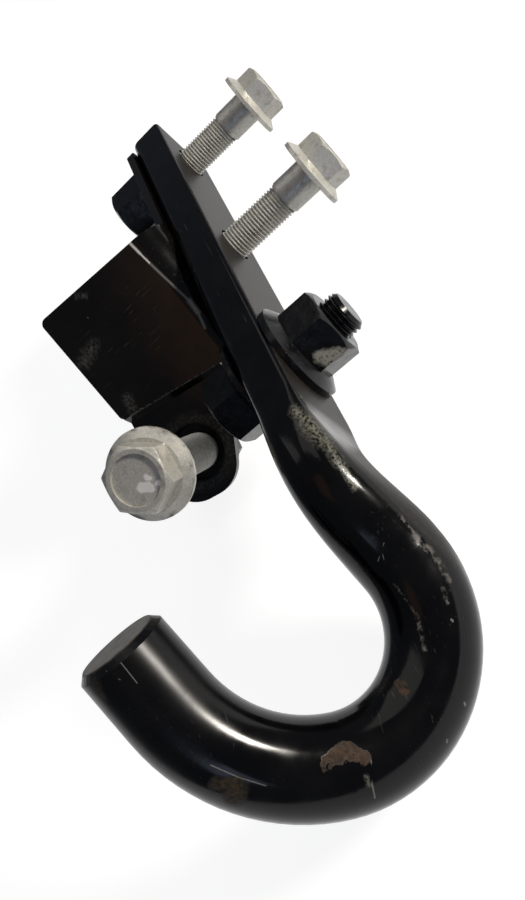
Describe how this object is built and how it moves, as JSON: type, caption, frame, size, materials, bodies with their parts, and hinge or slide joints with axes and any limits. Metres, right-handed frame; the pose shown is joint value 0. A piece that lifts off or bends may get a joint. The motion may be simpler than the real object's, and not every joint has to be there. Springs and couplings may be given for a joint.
{
  "type": "tow hook bracket",
  "caption": "Forged black steel tow hook with a flat bolted shank, a bent sheet bracket with a holed lug on its back, and loose flange bolts, nuts and weld nuts.",
  "frame": {"origin": "axis of the first shank bolt on the shank's front face", "axes": "+X along the shank towards the hook, +Y out of the shank's front face, +Z across the shank's width"},
  "size_m": [0.2617, 0.1253, 0.0838],
  "materials": {
    "hook_paint": "gloss",
    "bracket_paint": "gloss",
    "nut_black": "satin",
    "bolt_grey": "satin"
  },
  "bodies": {
    "root": {"hook": "hook_paint", "bracket": "bracket_paint", "leg_nut": "nut_black", "lug_nut": "nut_black", "stud_bolt": "nut_black", "flange_nut": "nut_black", "upper_bolt": "bolt_grey", "lower_bolt": "bolt_grey", "lug_bolt": "bolt_grey"}
  },
  "joints": []
}
